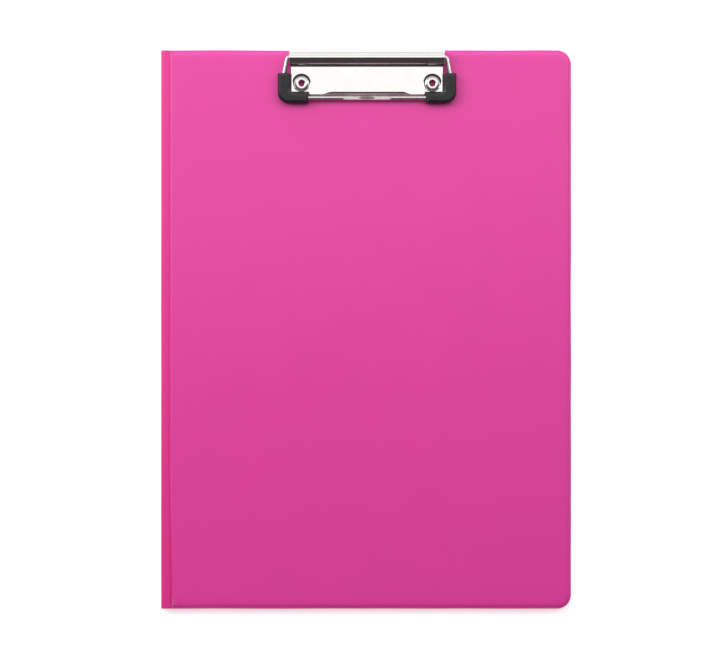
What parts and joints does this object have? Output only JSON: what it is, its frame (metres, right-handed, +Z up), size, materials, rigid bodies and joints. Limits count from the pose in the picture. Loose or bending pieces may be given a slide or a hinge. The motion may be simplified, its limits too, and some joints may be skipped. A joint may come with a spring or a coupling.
{
  "type": "foldover clipboard",
  "caption": "A4 foldover clipboard in welded vinyl: flat board with a low wire clip, and a cover on a soft spine that folds right round behind it.",
  "frame": {"origin": "middle of the lowest plane, under the folded cover, half way across X and along Y", "axes": "+X across the board away from the spine, +Y along the board towards the clip, +Z up out of the clip side"},
  "size_m": [0.235, 0.32, 0.0148],
  "materials": {
    "greyboard": "matte",
    "vinyl_sheet": "satin, fine grain",
    "pocket_vinyl": "satin, fine grain",
    "plated_steel": "bright nickel plate",
    "spring_steel": "rolled",
    "black_plastic": "moulded, semi-gloss"
  },
  "bodies": {
    "clip_panel": {"clip_board_core": "greyboard", "clip_board_lining": "vinyl_sheet", "clip_board_outer_sheet": "vinyl_sheet", "clip_base_plate": "plated_steel", "clip_leaf_spring": "spring_steel", "clip_rivets": "plated_steel"},
    "spine_clip_side": {"spine_lining_clip_side": "vinyl_sheet", "spine_outer_sheet_clip_side": "vinyl_sheet"},
    "spine_middle": {"spine_lining_middle": "vinyl_sheet", "spine_outer_sheet_middle": "vinyl_sheet"},
    "spine_cover_side": {"spine_lining_cover_side": "vinyl_sheet", "spine_outer_sheet_cover_side": "vinyl_sheet"},
    "cover": {"cover_core": "greyboard", "cover_lining": "vinyl_sheet", "cover_outer_sheet": "vinyl_sheet", "cover_pocket": "pocket_vinyl"},
    "bail": {"wire_bail": "plated_steel", "left_corner_sleeve": "black_plastic", "right_corner_sleeve": "black_plastic"}
  },
  "joints": [
    {"name": "board_crease", "type": "hinge", "parent": "clip_panel", "child": "spine_clip_side", "pos_m": [-0.11235, 0, 0.0049], "axis": [0, 1, 0], "range_deg": [0, 90]},
    {"name": "upper_fold", "type": "hinge", "parent": "spine_clip_side", "child": "spine_middle", "pos_m": [-0.11715, 0, 0.0049], "axis": [0, 1, 0], "range_deg": [0, 90]},
    {"name": "lower_fold", "type": "hinge", "parent": "spine_middle", "child": "spine_cover_side", "pos_m": [-0.11715, 0, 0.0016], "axis": [0, 1, 0], "range_deg": [0, 90]},
    {"name": "cover_crease", "type": "hinge", "parent": "spine_cover_side", "child": "cover", "pos_m": [-0.11235, 0, 0.0016], "axis": [0, 1, 0], "range_deg": [0, 90]},
    {"name": "bail_hinge", "type": "hinge", "parent": "clip_panel", "child": "bail", "pos_m": [0.0006, 0.1551, 0.01025], "axis": [1, 0, 0], "range_deg": [-100, 0], "stiffness_Nm_per_rad": 0.1, "springref_deg": 11.46, "deforming": ["clip_leaf_spring"]}
  ]
}
